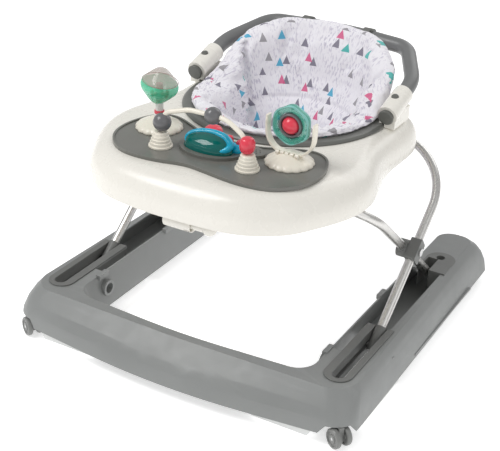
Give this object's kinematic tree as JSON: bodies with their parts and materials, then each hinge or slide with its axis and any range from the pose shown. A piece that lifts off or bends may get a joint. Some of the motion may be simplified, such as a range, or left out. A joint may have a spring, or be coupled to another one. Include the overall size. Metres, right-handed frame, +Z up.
{
  "type": "baby walker",
  "caption": "Baby walker: U-shaped wheeled base, crossing lift tubes, play tray with toys, ring seat with fabric sling and removable push handle.",
  "frame": {"origin": "centre of the footprint, on the floor", "axes": "+Z up, +Y towards the rear of the walker (the child faces -Y), +X across to the child's left"},
  "size_m": [0.6563, 0.6876, 0.489],
  "materials": {
    "base_grey": "satin moulded",
    "trim_grey": "moulded",
    "caster_grey": "moulded",
    "pad_white": "soft matt",
    "tube_steel": "satin",
    "pin_steel": "satin",
    "tray_cream": "semi-gloss moulded",
    "panel_grey": "satin",
    "ring_grey": "satin",
    "handle_grey": "satin",
    "button_grey": "satin",
    "seat_fabric": "printed cotton",
    "toy_cream": "gloss",
    "toy_teal": "clear gloss",
    "toy_blue": "gloss",
    "toy_red": "gloss",
    "toy_dark": "gloss"
  },
  "bodies": {
    "base": {"base_shell": "base_grey", "slot_guide_left": "trim_grey", "slot_guide_right": "trim_grey", "rear_bracket_left": "trim_grey", "rear_bracket_right": "trim_grey", "rear_pivot_pins": "pin_steel", "caster_bushes": "pin_steel", "rear_axles": "pin_steel", "rear_axle_brackets": "caster_grey", "stopper_pads": "pad_white", "base_screws": "pin_steel"},
    "front_caster_left": {"caster_fork_left": "caster_grey", "caster_axle_left": "pin_steel"},
    "front_wheels_left": {"caster_wheels_left": "caster_grey"},
    "front_caster_right": {"caster_fork_right": "caster_grey", "caster_axle_right": "pin_steel"},
    "front_wheels_right": {"caster_wheels_right": "caster_grey"},
    "rear_wheels_left": {"rear_rollers_left": "caster_grey"},
    "rear_wheels_right": {"rear_rollers_right": "caster_grey"},
    "front_lift": {"front_lift_tube": "tube_steel", "cross_hubs": "trim_grey"},
    "rear_lift": {"rear_lift_tube": "tube_steel", "cross_sleeves": "trim_grey", "slider_feet": "trim_grey", "slider_pins": "pin_steel", "cross_pins": "pin_steel"},
    "tray": {"tray_shell": "tray_cream", "tray_rails": "tray_cream", "rear_bearings": "tray_cream", "adjuster_housing": "tray_cream", "toy_panel": "panel_grey", "seat_ring": "ring_grey", "seat_sling": "seat_fabric", "seat_back": "seat_fabric", "handle_socket_left": "tray_cream", "handle_socket_right": "tray_cream", "rattle_base": "toy_cream", "rattle_post": "toy_cream", "spinner_stand": "toy_cream", "bead_cones": "toy_cream", "bead_arch": "toy_cream", "end_beads": "toy_dark", "music_plinth": "panel_grey", "music_bezel": "toy_blue", "music_lens": "toy_teal"},
    "adjuster_lever": {"adjuster_lever": "tray_cream"},
    "handle": {"handle_hoop": "handle_grey", "seat_hooks": "button_grey"},
    "release_button_left": {"release_button_left": "button_grey"},
    "release_button_right": {"release_button_right": "button_grey"},
    "snap_button_left": {"snap_button_left": "button_grey"},
    "snap_button_right": {"snap_button_right": "button_grey"},
    "rattle": {"rattle_head": "toy_teal"},
    "spinner": {"spinner_ring": "toy_teal", "spinner_collar": "toy_dark", "spinner_ball": "toy_red"},
    "sliding_bead": {"sliding_bead": "toy_dark"},
    "music_button_large": {"music_button_large": "toy_red"},
    "music_button_middle": {"music_button_middle": "toy_red"},
    "music_button_small": {"music_button_small": "toy_red"}
  },
  "joints": [
    {"name": "caster_swivel_left", "type": "hinge", "parent": "base", "child": "front_caster_left", "pos_m": [-0.3, -0.298, 0.017], "axis": [0, 0, 1], "continuous": true},
    {"name": "front_wheel_spin_left", "type": "hinge", "parent": "front_caster_left", "child": "front_wheels_left", "pos_m": [-0.29221, -0.3025, 0.017], "axis": [0.5, 0.866, 0], "continuous": true},
    {"name": "rear_wheel_spin_left", "type": "hinge", "parent": "base", "child": "rear_wheels_left", "pos_m": [-0.275, 0.285, 0.017], "axis": [1, 0, 0], "continuous": true},
    {"name": "caster_swivel_right", "type": "hinge", "parent": "base", "child": "front_caster_right", "pos_m": [0.3, -0.298, 0.017], "axis": [0, 0, 1], "continuous": true},
    {"name": "front_wheel_spin_right", "type": "hinge", "parent": "front_caster_right", "child": "front_wheels_right", "pos_m": [0.30779, -0.3025, 0.017], "axis": [0.5, 0.866, 0], "continuous": true},
    {"name": "rear_wheel_spin_right", "type": "hinge", "parent": "base", "child": "rear_wheels_right", "pos_m": [0.275, 0.285, 0.017], "axis": [1, 0, 0], "continuous": true},
    {"name": "fold", "type": "hinge", "parent": "base", "child": "front_lift", "pos_m": [0, 0.18, 0.066], "axis": [1, 0, 0], "range_deg": [0, 27]},
    {"name": "rear_lift_turn", "type": "hinge", "parent": "front_lift", "child": "rear_lift", "pos_m": [0, 0.03701, 0.1818], "axis": [1, 0, 0], "range_deg": [-54, 0]},
    {"name": "tray_level", "type": "hinge", "parent": "rear_lift", "child": "tray", "pos_m": [0, 0.20021, 0.31395], "axis": [1, 0, 0], "range_deg": [0, 27]},
    {"name": "adjuster_press", "type": "slide", "parent": "tray", "child": "adjuster_lever", "axis": [0, 0, 1], "range_m": [0, 0.0035], "stiffness_N_per_m": 400},
    {"name": "handle_pull", "type": "slide", "parent": "tray", "child": "handle", "axis": [0, 0.9588, 0.284], "range_m": [0, 0.07]},
    {"name": "release_press_left", "type": "slide", "parent": "tray", "child": "release_button_left", "axis": [0, 0.9588, 0.284], "range_m": [0, 0.004], "stiffness_N_per_m": 400},
    {"name": "snap_press_left", "type": "slide", "parent": "tray", "child": "snap_button_left", "axis": [0, 0.284, -0.9588], "range_m": [0, 0.002], "stiffness_N_per_m": 400},
    {"name": "release_press_right", "type": "slide", "parent": "tray", "child": "release_button_right", "axis": [0, 0.9588, 0.284], "range_m": [0, 0.004], "stiffness_N_per_m": 400},
    {"name": "snap_press_right", "type": "slide", "parent": "tray", "child": "snap_button_right", "axis": [0, 0.284, -0.9588], "range_m": [0, 0.002], "stiffness_N_per_m": 400},
    {"name": "rattle_spin", "type": "hinge", "parent": "tray", "child": "rattle", "pos_m": [-0.124, -0.157, 0.457], "axis": [0, 0, 1], "continuous": true},
    {"name": "spinner_spin", "type": "hinge", "parent": "tray", "child": "spinner", "pos_m": [0.123, -0.161, 0.448], "axis": [1, 0, 0], "continuous": true},
    {"name": "bead_slide", "type": "slide", "parent": "tray", "child": "sliding_bead", "axis": [-1, 0, 0], "range_m": [0, 0.02]},
    {"name": "music_press_large", "type": "slide", "parent": "tray", "child": "music_button_large", "axis": [0, 0, -1], "range_m": [0, 0.0022], "stiffness_N_per_m": 400},
    {"name": "music_press_middle", "type": "slide", "parent": "tray", "child": "music_button_middle", "axis": [0, 0, -1], "range_m": [0, 0.0022], "stiffness_N_per_m": 400},
    {"name": "music_press_small", "type": "slide", "parent": "tray", "child": "music_button_small", "axis": [0, 0, -1], "range_m": [0, 0.0022], "stiffness_N_per_m": 400}
  ],
  "couplings": [
    {"joint": "rear_lift_turn", "follows": "fold", "ratio": -2},
    {"joint": "tray_level", "follows": "fold", "ratio": 1}
  ]
}
